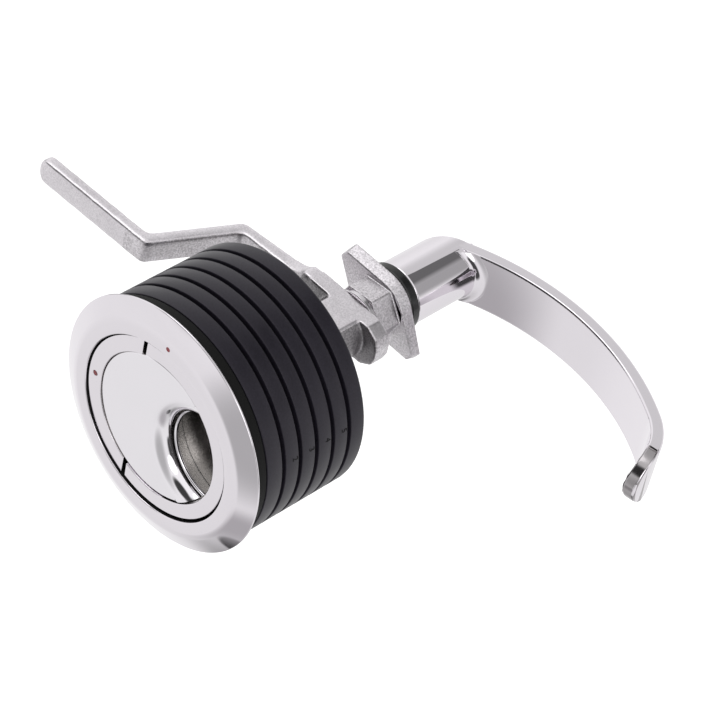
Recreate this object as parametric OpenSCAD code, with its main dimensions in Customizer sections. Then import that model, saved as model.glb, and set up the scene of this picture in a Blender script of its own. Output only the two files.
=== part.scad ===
// Through-door rotary draw latch: a round flush bezel with a lift-up pull ring outside the door,
// a Z-shaped draw arm on the spindle, and a lever handle inside the door.
// Axis of the spindle is Y. The flange seats on the door at y = 0, the door's outside faces -Y.

/* [Bezel] */
// Diameter of the flange
flange_d = 90; // [88:1:104]
// Height of the flange's face in front of the door
flange_rise = 4.05; // [3.6:0.05:5]
// Thickness of the flange at its rim
flange_edge = 0.6; // [0.4:0.1:1.4]
// Width of the flat face between the bore and the sloping band
land_w = 5.2; // [3.8:0.1:7]
// Diameter of the bezel's bore
bore_d = 65.6; // [65:0.2:67]
// Wall of the barrel round the bore
barrel_wall = 4; // [3.4:0.1:4.2]
// Thickness of the barrel's floor
floor_t = 3; // [2.6:0.2:5]
// Distance from the bore to the bezel's colour dot
dot_inset = 3.3; // [2:0.1:3.6]
// Diameter of the colour dots
dot_d = 1.8; // [1.2:0.1:2.4]
// Depth of the colour dots
dot_t = 0.6; // [0.4:0.1:0.9]

/* [Gasket and spacer sleeve] */
// Thickness of the gasket behind the flange
gasket_t = 5.2; // [3:0.1:7]
// Inset of the gasket's edge from the sleeve's outside
gasket_inset = 0.2; // [0:0.05:0.6]
// Outer diameter of the spacer sleeve
sleeve_d = 85.8; // [84:0.2:87.4]
// Length of the spacer sleeve
sleeve_len = 42.6; // [42:0.2:60]
// Number of cutting grooves
groove_count = 5; // [3:1:5]
// Distance from the sleeve's front to its first groove
groove_start = 7.1; // [5:0.1:8]
// Pitch of the grooves
groove_pitch = 7.1; // [5:0.1:7.4]
// Width of a groove
groove_w = 1.6; // [1:0.1:2.2]
// Depth of a groove
groove_depth = 2.6; // [1.4:0.1:3.2]
// Radius of the sleeve's rear edge
sleeve_edge_r = 1.2; // [0.6:0.1:2]

/* [Rotor and pull ring] */
// Drop of the pull ring's face below the flange's face
ring_drop = 0.9; // [0.4:0.05:1.2]
// Width of the pull ring across its face
ring_w = 5.3; // [4.8:0.1:6]
// Thickness of the pull ring
ring_t = 5; // [4.6:0.1:5.6]
// Gap round the pull ring inside the bore
ring_gap = 0.8; // [0.6:0.1:1.2]
// Gap between the pull ring and the dish
ring_inner_gap = 0.3; // [0.2:0.05:0.5]
// Distance from the spindle's axis to the ring's end notches
notch_x = 10.4; // [9:0.1:12]
// Width of the notches at the ring's ends
notch_w = 1.5; // [1.3:0.1:2.4]
// Distance from the spindle's axis to the ring's hinge
hinge_x = 3; // [1:0.2:4]
// Depth of the hinge below the ring's face
hinge_depth = 2.9; // [2.8:0.1:3.2]
// Diameter of the hinge pins
hinge_pin_d = 2.4; // [1.8:0.1:2.6]
// Length of a hinge pin inside the rotor
hinge_pin_seat = 6; // [4:0.5:9]
// Clearance behind the rotor's rim under the ring
ring_seat_gap = 0.3; // [0.2:0.05:0.6]
// Thickness of the pressed dish
dish_t = 0.9; // [0.7:0.1:1]
// Drop of the dish below the ring's face
dish_drop = 0.4; // [0:0.05:0.5]
// Radius of the finger scoop's edge, seen from the front
scoop_r = 17.3; // [15:0.1:18.4]
// Distance from the spindle's axis to the scoop's centre
scoop_x = 20.6; // [19.5:0.1:22.5]
// Radius of the rolled lip of the dish
lip_r = 6; // [4:0.5:7]
// Depth of the finger pit
pit_depth = 14.2; // [12:0.2:18]
// Wall of the rotor round the finger pit
pit_wall = 1.7; // [1.4:0.1:2.4]
// Thickness of the rotor's floor
rotor_floor_t = 3; // [2.6:0.2:5]
// Diameter of the rotor's hub
hub_d = 23; // [21:0.5:25]
// Length of the rotor's hub
hub_len = 12; // [10:0.5:15]

/* [Spindle and bearings] */
// Diameter of the spindle
spindle_d = 12; // [11:0.5:13]
// Distance across the spindle's flats
flats_w = 9.8; // [9:0.1:10.4]
// Outer diameter of the bushes
bush_d = 17; // [16:0.5:18.5]
// Length of a bush
bush_len = 8; // [6:0.5:8.5]
// Outer diameter of the neck round the bushes
neck_d = 32; // [30:0.5:34]
// Thickness of the thrust washers
thrust_t = 0.8; // [0.6:0.1:1]
// Diameter of the cross pin in the rotor's hub
cross_pin_d = 3; // [2.5:0.5:4]
// Diameter of the stop pin
stop_pin_d = 4; // [3:0.5:5]
// Distance from the spindle's axis to the stop pin
stop_pin_r = 22; // [20:0.5:24]
// Turn of the spindle between its stops, in degrees
turn = 90; // [60:5:120]
// Thickness of the circlip
circlip_t = 1.1; // [0.8:0.1:1.4]

/* [Rear plate] */
// Diameter of the rear plate's rim
plate_d = 80; // [78:0.5:82]
// Thickness of the rear plate's rim behind the sleeve
plate_rim_t = 1.5; // [1.2:0.1:3]
// Depth of the rear plate's spigot in the sleeve
plate_spigot = 3; // [2.4:0.2:5]
// Number of rear plate screws
screw_count = 3; // [3:1:4]
// Diameter of the screws
screw_d = 4; // [3:0.5:5]
// Distance from the spindle's axis to the screws
screw_r = 26; // [24:0.5:28]
// Diameter of a screw's head
screw_head_d = 7.2; // [6:0.2:8]
// Height of a screw's head
screw_head_h = 2.6; // [2:0.1:3]

/* [Draw arm] */
// Gap between the sleeve and the arm's boss
arm_gap = 14; // [6:0.5:24]
// Length of the arm's boss
boss_len = 16.7; // [10:0.5:22]
// Diameter of the arm's boss
boss_d = 21.2; // [20:0.2:23]
// Thickness of the arm's eye plate
eye_t = 6.3; // [5:0.1:9]
// Width of the eye plate
eye_w = 16.8; // [15.6:0.2:19]
// Reach of the eye plate past the spindle's axis
eye_reach = 17; // [14:0.5:22]
// Width of the arm's bar
arm_w = 10.2; // [8:0.2:12]
// Thickness of the arm's bar
arm_t = 5; // [4:0.2:6]
// Reach of the arm from the spindle's axis to its tip
arm_reach = 114.4; // [95:0.2:140]
// Radius of the arm's tip, seen from the front
arm_tip_r = 7; // [6:0.5:12]
// Distance from the spindle's axis to the outer bend
outer_bend_x = 64.2; // [56:0.5:76]
// Distance from the spindle's axis to the inner bend
inner_bend_x = 50; // [42:0.5:54]
// Drop of the arm between its two bends
joggle = 31.2; // [15:0.5:40]
// Drop of the arm between the eye plate and the inner bend
inner_drop = 2.9; // [0:0.1:6]
// Slope of the arm's outer length, in degrees
arm_slope = 2.4; // [0:0.2:4]
// Distance from the spindle's axis to the start of the eye plate
flare_x = 20; // [18:0.5:26]
// Radius of the flare between bar and eye plate
flare_r = 7; // [4:0.5:9]

/* [Nut, washer and ring] */
// Outer diameter of the arm's washer
washer_d = 19.6; // [17:0.2:21]
// Thickness of the arm's washer
washer_t = 1.6; // [1:0.1:2.4]
// Distance across the nut's flats
nut_af = 19.4; // [17:0.2:21]
// Height of the nut's hexagon
nut_h = 8.8; // [7:0.2:12]
// Span of the nut's two wings
wing_span = 42.6; // [36:0.2:50]
// Width of a wing at its tip
wing_tip_w = 4.4; // [3:0.2:6]
// Diameter of the round hub that the wings run into
wing_hub_d = 25.6; // [23:0.2:27]
// Thickness of the wings
wing_t = 4.4; // [3:0.1:6]
// Outer diameter of the buffer ring
buffer_d = 25.2; // [23:0.2:27]
// Thickness of the buffer ring
buffer_t = 4; // [2.5:0.1:6]
// Radius of the buffer ring's edges
buffer_edge_r = 1; // [0.5:0.1:1.2]

/* [Lever handle] */
// Diameter of the lever's shank
shank_d = 23.4; // [22.8:0.2:26]
// Length of the shank's bore
shank_bore = 24; // [18:0.5:26]
// Height of the blade's back above the shank's foot, on the spindle's axis
shank_h = 28.6; // [27:0.2:36]
// Thickness of the blade
blade_t = 4.6; // [3:0.1:5]
// Radius of the blade's bow
bow_r = 96.4; // [88:0.2:110]
// Rise of the bow where it leaves the shank, in degrees
bow_rise = 28.8; // [24:0.2:32]
// Fall of the bow where it meets the curl, in degrees
bow_fall = 31.2; // [28:0.2:38]
// Radius of the curl at the tip
curl_r = 27; // [20:0.5:32]
// Fall of the curl at the very tip, in degrees
tip_fall = 91; // [80:1:100]
// Width of the blade at the shank
blade_w = 22.8; // [20:0.2:22.8]
// Width of the blade at its tip
blade_tip_w = 20.8; // [16:0.2:22]
// Diameter of the grub screw
grub_d = 5; // [4:0.5:6]
// Distance from the shank's foot to the grub screw
grub_y = 8; // [6:0.5:12]

/* [Fits] */
// Gap between pieces that are fixed face to face
seat = 0.05; // [0.02:0.01:0.1]
// Radial clearance of running and sliding fits
run_fit = 0.05; // [0.03:0.01:0.1]
// Clearance between the rotor and the fixed barrel
rotor_gap = 0.5; // [0.4:0.05:0.7]

/* [Hidden] */
$fn = 96;
over = 1;
far = 300;

// Radii round the spindle's axis
flange_r = flange_d / 2;
bore_r = bore_d / 2;
barrel_r = bore_r + barrel_wall;
sleeve_r = sleeve_d / 2;
gasket_r = sleeve_r - gasket_inset;
sleeve_in = barrel_r + seat;
rotor_r = bore_r - rotor_gap;
ring_out = bore_r - ring_gap;
ring_in = ring_out - ring_w;
dish_r = ring_in - ring_inner_gap;
rim_mid_r = (rotor_r + dish_r) / 2;
spindle_r = spindle_d / 2;
hub_r = hub_d / 2;
bush_r = bush_d / 2;
shank_r = shank_d / 2;

// Stations along the spindle's axis
face_y = -flange_rise;
ring_y = face_y + ring_drop;
ring_back = ring_y + ring_t;
rim_y = ring_back + ring_seat_gap;
pit_y = ring_y + pit_depth;
rotor_back = pit_y + rotor_floor_t;
thrust_gap = thrust_t + 2 * seat;
floor_y = rotor_back + thrust_gap;
floor_back = floor_y + floor_t;
hub_end = rotor_back + hub_len;
sleeve_y = gasket_t + seat;
sleeve_end = sleeve_y + sleeve_len;
neck_end = sleeve_end - 0.5;
plate_y = sleeve_end + seat;
plate_back = plate_y + plate_rim_t;
rear_thrust_y = neck_end + seat;
circlip_y = rear_thrust_y + thrust_t + 2 * seat;
boss_y = sleeve_end + arm_gap;
eye_y = boss_y + boss_len;
eye_back = eye_y + eye_t;
washer_y = eye_back + seat;
nut_y = washer_y + washer_t + seat;
wing_y = nut_y + nut_h;
buffer_y = wing_y + wing_t + seat;
shank_y = buffer_y + buffer_t + seat;
spindle_start = rotor_back + rotor_floor_t / 2;
spindle_end = shank_y + shank_bore - over;
flats_y = boss_y - 2;

// Rotor and dish
dish_y = ring_y + dish_drop;
dish_back = dish_y + dish_t;
dish_seat = dish_back + seat;
lip_flat_r = scoop_r + lip_r;
pit_in = rotor_r - pit_wall;
hinge_y = ring_y + hinge_depth;
ring_end_x = notch_x - notch_w / 2;
arc_end_x = notch_x + notch_w / 2;
pin_inner = dish_r - hinge_pin_seat;
swing_r = norm([ring_end_x - hinge_x, ring_back - hinge_y]) + ring_inner_gap * 2;
lift_room = norm([ring_end_x - hinge_x, hinge_depth]) + ring_inner_gap * 2;

// Rotor seal
seal_section_r = 0.9;
seal_y = rotor_back - rotor_floor_t / 2;
seal_r = bore_r - 0.12 - seal_section_r;

// Bearings inside the neck
hub_bore_r = hub_r + 0.4;
front_bush_y = hub_end + 2;
rear_bush_y = neck_end - bush_len;
neck_land_r = spindle_r + 1.45;
neck_seal_r = 1.2;
neck_seal_y = (front_bush_y + bush_len + rear_bush_y) / 2;
neck_seal_mid_r = neck_land_r - 0.1 - neck_seal_r;
cross_pin_y = hub_end - 5.5;
circlip_in = spindle_r - 0.9;
circlip_out = spindle_r + 2;
stop_depth = 2;
stop_angle = 225;

// Rear plate
screw_boss_r = screw_d / 2 + 2.2;
screw_boss_len = 8;
screw_head_y = plate_back - 0.1 - screw_head_h;

// Arm
eye_chamfer = 6;
eye_tip_w = 4;
inner_bend_y = eye_back - arm_t / 2 - inner_drop;
outer_bend_y = inner_bend_y - joggle;
tip_y = outer_bend_y - (arm_reach - outer_bend_x) * tan(arm_slope);
wing_line = 149;
hex_turn = 6;

// Lever
bow_c = [bow_r * sin(bow_rise), shank_y + shank_h - bow_r * cos(bow_rise)];
curl_c = bow_c + (bow_r - curl_r) * [sin(bow_fall), cos(bow_fall)];
tip_r = blade_tip_w / 2;
tip_mid = tip_fall - tip_r / curl_r * 90 / PI;
tip_dir = [cos(tip_mid), -sin(tip_mid)];
tip_out = [sin(tip_mid), cos(tip_mid)];
tip_p = curl_c + curl_r * [sin(tip_fall), cos(tip_fall)];

steel = [0.80, 0.80, 0.81];
cast_steel = [0.66, 0.65, 0.65];
black_plastic = [0.16, 0.16, 0.17];
blackened_steel = [0.11, 0.11, 0.12];
rubber_black = [0.07, 0.07, 0.07];
bronze = [0.62, 0.45, 0.25];
enamel_red = [0.55, 0.05, 0.05];

// Turns a profile of [radius, station] round the spindle's axis
module turned() {
  rotate([-90, 0, 0]) rotate_extrude() children();
}

// Rod on the spindle's axis
module rod(r, y0, y1) {
  translate([0, y0, 0]) rotate([-90, 0, 0]) cylinder(r = r, h = y1 - y0);
}

// Plate with an outline of [x, z] between two stations
module slab(y0, y1) {
  translate([0, y1, 0]) rotate([90, 0, 0]) linear_extrude(y1 - y0) children();
}

// Outline of [x, y] made as wide as w across the spindle's axis
module across(w) {
  translate([0, 0, -w / 2]) linear_extrude(w) children();
}

// Flat washer on the spindle's axis
module washer(r_in, r_out, y0, y1) {
  difference() {
    rod(r_out, y0, y1);
    rod(r_in, y0 - over, y1 + over);
  }
}

// Round spindle section with two flats, grown by a clearance
module double_d(y0, y1, grow) {
  slab(y0, y1) intersection() {
    circle(spindle_r + grow);
    square([far, flats_w + 2 * grow], center = true);
  }
}

// Ring of round section on the spindle's axis
module o_ring(mid_r, section_r, y) {
  turned() translate([mid_r, y]) circle(section_r, $fn = 32);
}

// Sector of a circle between two angles less than 180 degrees apart
module sector(r, a0, a1) {
  mid = (a0 + a1) / 2;
  polygon([
    [0, 0],
    r * [cos(a0), sin(a0)],
    2 * r * [cos(mid), sin(mid)],
    r * [cos(a1), sin(a1)]
  ]);
}

// Half-section of the flange: a flat face, a sloping band and a thin rim
module flange_section() {
  polygon([
    [bore_r, face_y],
    [bore_r + land_w, face_y],
    [flange_r, -flange_edge],
    [flange_r, 0],
    [bore_r, 0]
  ]);
}

module bezel() color(steel) difference() {
  union() {
    turned() flange_section();
    rod(barrel_r, 0, floor_back);
    rod(neck_d / 2, floor_y, neck_end);
    for (i = [0 : screw_count - 1]) rotate([0, 360 / screw_count * i + 30, 0])
      translate([screw_r, floor_y, 0]) rotate([-90, 0, 0])
        cylinder(r = screw_boss_r, h = floor_t + screw_boss_len);
  }
  rod(bore_r, face_y - over, floor_y);
  rod(hub_bore_r, floor_y - over, front_bush_y - 1);
  rod(bush_r + seat, front_bush_y - 1 - over, front_bush_y + bush_len);
  rod(neck_land_r, front_bush_y, neck_end);
  rod(bush_r + seat, rear_bush_y, neck_end + over);
  stop_slot();
  for (i = [0 : screw_count - 1]) rotate([0, 360 / screw_count * i + 30, 0])
    translate([screw_r, floor_y + 1, 0]) rotate([-90, 0, 0])
      cylinder(r = screw_d / 2 + seat, h = floor_t + screw_boss_len);
  translate([0, 0, bore_r + dot_inset]) rod(dot_d / 2 + seat, face_y - over, face_y + dot_t + seat);
}

// Blind slot in the barrel's floor that lets the stop pin travel
module stop_slot() {
  wide = stop_pin_d / 2 + 0.4;
  end_room = atan(wide / stop_pin_r);
  slab(floor_y - over, floor_y + stop_depth) intersection() {
    difference() {
      circle(stop_pin_r + wide);
      circle(stop_pin_r - wide);
    }
    sector(stop_pin_r * 2, stop_angle - turn - end_room, stop_angle + end_room);
  }
}

module bezel_dot() color(enamel_red) {
  translate([0, 0, bore_r + dot_inset]) rod(dot_d / 2, face_y + 0.02, face_y + dot_t);
}

module bezel_gasket() color(rubber_black) {
  washer(barrel_r + seat, gasket_r, seat, gasket_t);
}

// Half-section of the sleeve's outside with its cutting grooves
module sleeve_section() {
  difference() {
    translate([sleeve_in, sleeve_y]) square([sleeve_r - sleeve_in, sleeve_len]);
    for (i = [0 : groove_count - 1])
      translate([sleeve_r - groove_depth, sleeve_y + groove_start + groove_pitch * i - groove_w / 2])
        square([groove_depth + over, groove_w]);
    translate([sleeve_r - sleeve_edge_r, sleeve_end - sleeve_edge_r]) difference() {
      square(sleeve_edge_r + over);
      circle(sleeve_edge_r);
    }
  }
}

module spacer_sleeve() color(black_plastic) turned() sleeve_section();

module rear_plate() color(blackened_steel) difference() {
  union() {
    rod(plate_d / 2, plate_y, plate_back);
    rod(sleeve_in - seat, plate_y - plate_spigot, plate_y + over / 2);
  }
  rod(neck_d / 2 + seat, plate_y - plate_spigot - over, plate_back + over);
  rear_screw_places() {
    cylinder(r = screw_d / 2 + 0.15, h = far, center = true);
    translate([0, 0, screw_head_y - seat]) cylinder(r = screw_head_d / 2 + 0.15, h = far);
  }
}

// Puts its children on each rear plate screw's axis, with local Z as the station
module rear_screw_places() {
  for (i = [0 : screw_count - 1]) rotate([0, 360 / screw_count * i + 30, 0])
    translate([screw_r, 0, 0]) rotate([-90, 0, 0]) children();
}

module rear_plate_screws() color(steel) rear_screw_places() difference() {
  union() {
    translate([0, 0, floor_y + 2]) cylinder(r = screw_d / 2, h = screw_head_y - floor_y - 1);
    translate([0, 0, screw_head_y]) cylinder(r = screw_head_d / 2, h = screw_head_h);
  }
  translate([0, 0, screw_head_y + screw_head_h - 1.6]) cylinder(r = screw_d * 0.43, h = far, $fn = 6);
}

module bush(y0) washer(spindle_r + run_fit, bush_r, y0, y0 + bush_len);

module front_bush() color(bronze) bush(front_bush_y);

module rear_bush() color(bronze) bush(rear_bush_y);

// Outline [x, z] of the rotor's rim that stands level with the pull ring, opposite it
module rim_arc() {
  intersection() {
    difference() {
      circle(rotor_r);
      circle(dish_r + seat);
    }
    translate([-far - arc_end_x, -far / 2]) square([far, far]);
  }
}

// Pockets under the ends of the pull ring, which dip as the ring lifts
module end_pockets() {
  for (s = [-1, 1]) scale([1, 1, s])
    intersection() {
      translate([-hinge_x, hinge_y, 0]) cylinder(r = lift_room + 0.4, h = far);
      translate([-far + hinge_x, dish_seat + 2.6, sqrt(ring_in * ring_in - ring_end_x * ring_end_x) - 0.6])
        cube([far, far, far]);
    }
}

module rotor() color(steel) difference() {
  union() {
    slab(ring_y, rim_y + over / 2) rim_arc();
    rod(dish_r, dish_seat, rim_y);
    rod(rotor_r, rim_y, rotor_back);
    rod(hub_r, rotor_back - over, hub_end);
  }
  slab(dish_seat - over, pit_y) intersection() {
    circle(pit_in);
    translate([scoop_x, 0]) circle(lip_flat_r + seat);
  }
  end_pockets();
  for (s = [-1, 1]) scale([1, 1, s]) translate([-hinge_x, hinge_y, pin_inner - seat])
    cylinder(r = hinge_pin_d / 2 + seat, h = far);
  turned() translate([seal_r - seal_section_r - seat, seal_y - seal_section_r - seat])
    square([far, 2 * (seal_section_r + seat)]);
  rod(spindle_r + seat, spindle_start - seat, hub_end + over);
  translate([-far / 2, cross_pin_y, 0]) rotate([0, 90, 0]) cylinder(r = cross_pin_d / 2 + seat, h = far);
  rotate([0, -stop_angle, 0]) translate([stop_pin_r, 0, 0])
    rod(stop_pin_d / 2 + seat, pit_y - 3 - seat, rotor_back + over);
  translate([-rim_mid_r, 0, 0]) rod(dot_d / 2 + seat, ring_y - over, ring_y + dot_t + seat);
}

// Half-section of the dish's rolled lip, from the scoop's centre
module lip_section() {
  translate([lip_flat_r, dish_y + lip_r]) intersection() {
    difference() {
      circle(lip_r);
      circle(lip_r - dish_t);
    }
    translate([-lip_r, -lip_r]) square(lip_r);
  }
}

module finger_dish() color(steel) intersection() {
  rod(dish_r, dish_y - over, rotor_back);
  union() {
    slab(dish_y, dish_back) difference() {
      circle(dish_r + over);
      translate([scoop_x, 0]) circle(lip_flat_r);
    }
    translate([scoop_x, 0, 0]) turned() lip_section();
  }
}

module rotor_dot() color(enamel_red) {
  translate([-rim_mid_r, 0, 0]) rod(dot_d / 2, ring_y + 0.02, ring_y + dot_t);
}

module rotor_seal() color(rubber_black) o_ring(seal_r, seal_section_r, seal_y);

module pull_ring() color(steel) difference() {
  slab(ring_y, ring_back) intersection() {
    difference() {
      circle(ring_out);
      circle(ring_in);
    }
    translate([-ring_end_x, -far / 2]) square([far, far]);
  }
  translate([-hinge_x, hinge_y, -far / 2]) cylinder(r = hinge_pin_d / 2 + run_fit, h = far);
}

module pull_ring_pins() color(steel) {
  for (s = [-1, 1]) scale([1, 1, s]) translate([-hinge_x, hinge_y, pin_inner])
    cylinder(r = hinge_pin_d / 2, h = ring_out - 0.6 - pin_inner);
}

module stop_pin() color(steel) {
  rotate([0, -stop_angle, 0]) translate([stop_pin_r, 0, 0])
    rod(stop_pin_d / 2, pit_y - 3, floor_y + stop_depth - 0.4);
}

module spindle() color(steel) difference() {
  union() {
    rod(spindle_r, spindle_start, flats_y);
    double_d(flats_y - over, spindle_end, 0);
  }
  translate([-far / 2, cross_pin_y, 0]) rotate([0, 90, 0]) cylinder(r = cross_pin_d / 2 + seat, h = far);
  turned() {
    translate([neck_seal_mid_r - neck_seal_r - seat, neck_seal_y - neck_seal_r - seat])
      square([far, 2 * (neck_seal_r + seat)]);
    translate([circlip_in - seat, circlip_y - seat]) square([far, circlip_t + 2 * seat]);
  }
}

module spindle_cross_pin() color(steel) {
  translate([-hub_r + 0.5, cross_pin_y, 0]) rotate([0, 90, 0]) cylinder(r = cross_pin_d / 2, h = hub_d - 1);
}

module spindle_seal() color(rubber_black) o_ring(neck_seal_mid_r, neck_seal_r, neck_seal_y);

module thrust_washer() color(bronze) {
  washer(hub_r + 0.4, hub_r + 6, rotor_back + seat, rotor_back + seat + thrust_t);
}

module rear_thrust_washer() color(bronze) {
  washer(spindle_r + run_fit, bush_r + 2, rear_thrust_y, rear_thrust_y + thrust_t);
}

module circlip() color(steel) difference() {
  washer(circlip_in, circlip_out, circlip_y, circlip_y + circlip_t);
  translate([0, circlip_y - over, -circlip_in * 0.7]) cube([far, far, circlip_in * 1.4]);
}

// Corner of the arm's side profile where two straight lengths of bar meet
function mitre(p, a, b, off) = p + off * (left(a) + left(b)) / (1 + left(a) * left(b));
function left(v) = [-v[1], v[0]] / norm(v);

// Side profile [x, y] of the bent bar and the eye plate
module arm_profile() {
  tip = [-arm_reach - over, tip_y];
  outer = [-outer_bend_x, outer_bend_y];
  inner = [-inner_bend_x, inner_bend_y];
  eye = [-flare_x, (eye_y + eye_back) / 2];
  half = arm_t / 2;
  polygon([
    tip + half * left(outer - tip),
    mitre(outer, outer - tip, inner - outer, half),
    mitre(inner, inner - outer, eye - inner, half),
    [-flare_x, eye_back],
    [eye_reach + over, eye_back],
    [eye_reach + over, eye_y],
    [-flare_x, eye_y],
    mitre(inner, inner - outer, eye - inner, -half),
    mitre(outer, outer - tip, inner - outer, -half),
    tip - half * left(outer - tip)
  ]);
}

// Outline [x, z] of the bar with its round tip, the flare, and the eye plate with its faceted end
module arm_outline() {
  half = eye_w / 2;
  step = half - arm_w / 2;
  flare = sqrt(flare_r * flare_r - (flare_r - step) * (flare_r - step));
  polygon([
    [-flare_x - over / 2, half],
    [eye_reach - eye_chamfer, half],
    [eye_reach - eye_chamfer / 4, half - eye_chamfer * 0.45],
    [eye_reach, eye_tip_w / 2],
    [eye_reach, -eye_tip_w / 2],
    [eye_reach - eye_chamfer / 4, -half + eye_chamfer * 0.45],
    [eye_reach - eye_chamfer, -half],
    [-flare_x - over / 2, -half]
  ]);
  difference() {
    translate([-flare_x - flare, -half]) square([flare + over, eye_w]);
    for (s = [-1, 1]) translate([-flare_x - flare, s * (arm_w / 2 + flare_r)]) circle(flare_r);
  }
  intersection() {
    translate([-arm_reach, -arm_w / 2]) square([arm_reach, arm_w]);
    union() {
      translate([arm_tip_r - arm_reach, 0]) circle(arm_tip_r);
      translate([arm_tip_r - arm_reach, -arm_tip_r]) square([far, 2 * arm_tip_r]);
    }
  }
}

module draw_arm() color(cast_steel) difference() {
  union() {
    intersection() {
      across(eye_w + 2 * over) arm_profile();
      slab(tip_y - far, eye_back + far) arm_outline();
    }
    intersection() {
      rod(boss_d / 2, boss_y, eye_y + over);
      translate([-far / 2, 0, -eye_w / 2 + 0.1]) cube([far, far, eye_w - 0.2]);
    }
  }
  double_d(boss_y - over, eye_back + over, run_fit);
}

module arm_washer() color(steel) washer(spindle_r + 0.1, washer_d / 2, washer_y, washer_y + washer_t);

// Outline [x, z] of the two tapered wings, whose edges run into the hub as tangents
module wing_outline() {
  hub_r = wing_hub_d / 2;
  tip = [wing_span, wing_tip_w] / 2;
  meet = atan2(tip[1], tip[0]) + acos(hub_r / norm(tip));
  shoulder = hub_r * [cos(meet), sin(meet)];
  polygon([
    tip,
    shoulder,
    [-shoulder[0], shoulder[1]],
    [-tip[0], tip[1]],
    -tip,
    -shoulder,
    [shoulder[0], -shoulder[1]],
    [tip[0], -tip[1]]
  ]);
  circle(hub_r);
}

module wing_nut() color(cast_steel) difference() {
  union() {
    slab(nut_y, wing_y + over) rotate(hex_turn) circle(nut_af / 2 / cos(30), $fn = 6);
    slab(wing_y, wing_y + wing_t) rotate(wing_line) wing_outline();
  }
  rod(spindle_r + run_fit, nut_y - over, wing_y + wing_t + over);
}

module buffer_ring() color(rubber_black) turned() difference() {
  translate([spindle_r + 0.1, buffer_y]) square([buffer_d / 2 - spindle_r - 0.1, buffer_t]);
  for (end = [0, 1]) translate([buffer_d / 2 - buffer_edge_r, buffer_y + end * buffer_t])
    mirror([0, end]) translate([0, buffer_edge_r]) difference() {
      translate([0, -buffer_edge_r - over]) square([buffer_edge_r + over, buffer_edge_r + over]);
      circle(buffer_edge_r, $fn = 32);
    }
}

// Side profile [x, y] of the blade: a bow that runs into a tighter curl
module blade_profile() {
  translate(bow_c) intersection() {
    difference() {
      circle(bow_r, $fn = 256);
      circle(bow_r - blade_t, $fn = 256);
    }
    sector(bow_r * 2, 90 - bow_fall, 90 + bow_rise);
  }
  translate(curl_c) intersection() {
    difference() {
      circle(curl_r, $fn = 128);
      circle(curl_r - blade_t, $fn = 128);
    }
    sector(curl_r * 2, 80 - tip_fall, 90.2 - bow_fall);
  }
}

// Outline of the blade's round end: local X runs out along the tip, local Y across the blade
module tip_outline() {
  translate([-tip_r, 0]) circle(tip_r);
  translate([-far, -far / 2]) square([far - tip_r, far]);
}

// Blade with its taper in width and its round end
module blade() {
  reach = curl_c[0] + curl_r + over;
  intersection() {
    across(blade_w) blade_profile();
    slab(shank_y, shank_y + far) polygon([
      [-over, blade_w / 2],
      [reach, blade_tip_w / 2],
      [reach, -blade_tip_w / 2],
      [-over, -blade_w / 2]
    ]);
    multmatrix([
      [tip_dir[0], 0, tip_out[0], tip_p[0] - far / 2 * tip_out[0]],
      [tip_dir[1], 0, tip_out[1], tip_p[1] - far / 2 * tip_out[1]],
      [0, 1, 0, 0],
      [0, 0, 0, 1]
    ]) linear_extrude(far) tip_outline();
  }
}

module lever_handle() color(steel) difference() {
  union() {
    intersection() {
      rod(shank_r, shank_y, shank_y + far);
      across(far) translate(bow_c) circle(bow_r, $fn = 256);
    }
    blade();
  }
  double_d(shank_y - over, shank_y + shank_bore, run_fit);
  translate([0, shank_y + grub_y, -far]) cylinder(r = grub_d / 2 + seat, h = far);
}

module handle_grub_screw() color(steel) difference() {
  translate([0, shank_y + grub_y, -shank_r + 1]) cylinder(r = grub_d / 2, h = shank_r - 1 - flats_w / 2 - 0.1);
  translate([0, shank_y + grub_y, -shank_r]) cylinder(r = grub_d * 0.28, h = 3.5, $fn = 6);
}

bezel();
bezel_dot();
bezel_gasket();
spacer_sleeve();
rear_plate();
rear_plate_screws();
front_bush();
rear_bush();
rotor();
finger_dish();
rotor_dot();
rotor_seal();
pull_ring();
pull_ring_pins();
stop_pin();
spindle();
spindle_cross_pin();
spindle_seal();
thrust_washer();
rear_thrust_washer();
circlip();
draw_arm();
arm_washer();
wing_nut();
buffer_ring();
lever_handle();
handle_grub_screw();
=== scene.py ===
"""Looks of a through-door draw latch: polished bezel, ring and lever, cast arm and nut, black sleeve."""

import math

import bmesh
import bpy
from mathutils import Matrix, Vector


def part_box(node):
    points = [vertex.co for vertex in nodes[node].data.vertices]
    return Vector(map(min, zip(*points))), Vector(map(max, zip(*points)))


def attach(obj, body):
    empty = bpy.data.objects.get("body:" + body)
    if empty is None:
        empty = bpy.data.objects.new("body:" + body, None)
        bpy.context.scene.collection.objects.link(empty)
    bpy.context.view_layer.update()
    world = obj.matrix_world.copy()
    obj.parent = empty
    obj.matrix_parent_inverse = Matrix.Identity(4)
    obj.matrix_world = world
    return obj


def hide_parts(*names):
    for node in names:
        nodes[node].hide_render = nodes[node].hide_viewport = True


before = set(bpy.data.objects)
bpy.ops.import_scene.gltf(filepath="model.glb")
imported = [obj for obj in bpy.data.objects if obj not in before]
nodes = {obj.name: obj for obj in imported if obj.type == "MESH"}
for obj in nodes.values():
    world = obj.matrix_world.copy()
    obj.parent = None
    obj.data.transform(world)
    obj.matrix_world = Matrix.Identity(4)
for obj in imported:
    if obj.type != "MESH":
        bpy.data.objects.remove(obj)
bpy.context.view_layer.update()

MM = 0.001
TOUCH = 0.01 * MM
MERGE = 0.004 * MM
OUTLINE_MERGE = 0.002 * MM
EDGE_DEGREES = 32.0
FACE_DEGREES = 40.0
IMAGE_PX = 704
SENSOR_MM = 36.0
FOCAL_PX = 3300.0


# Sizes taken from the frame, in metres

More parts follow.
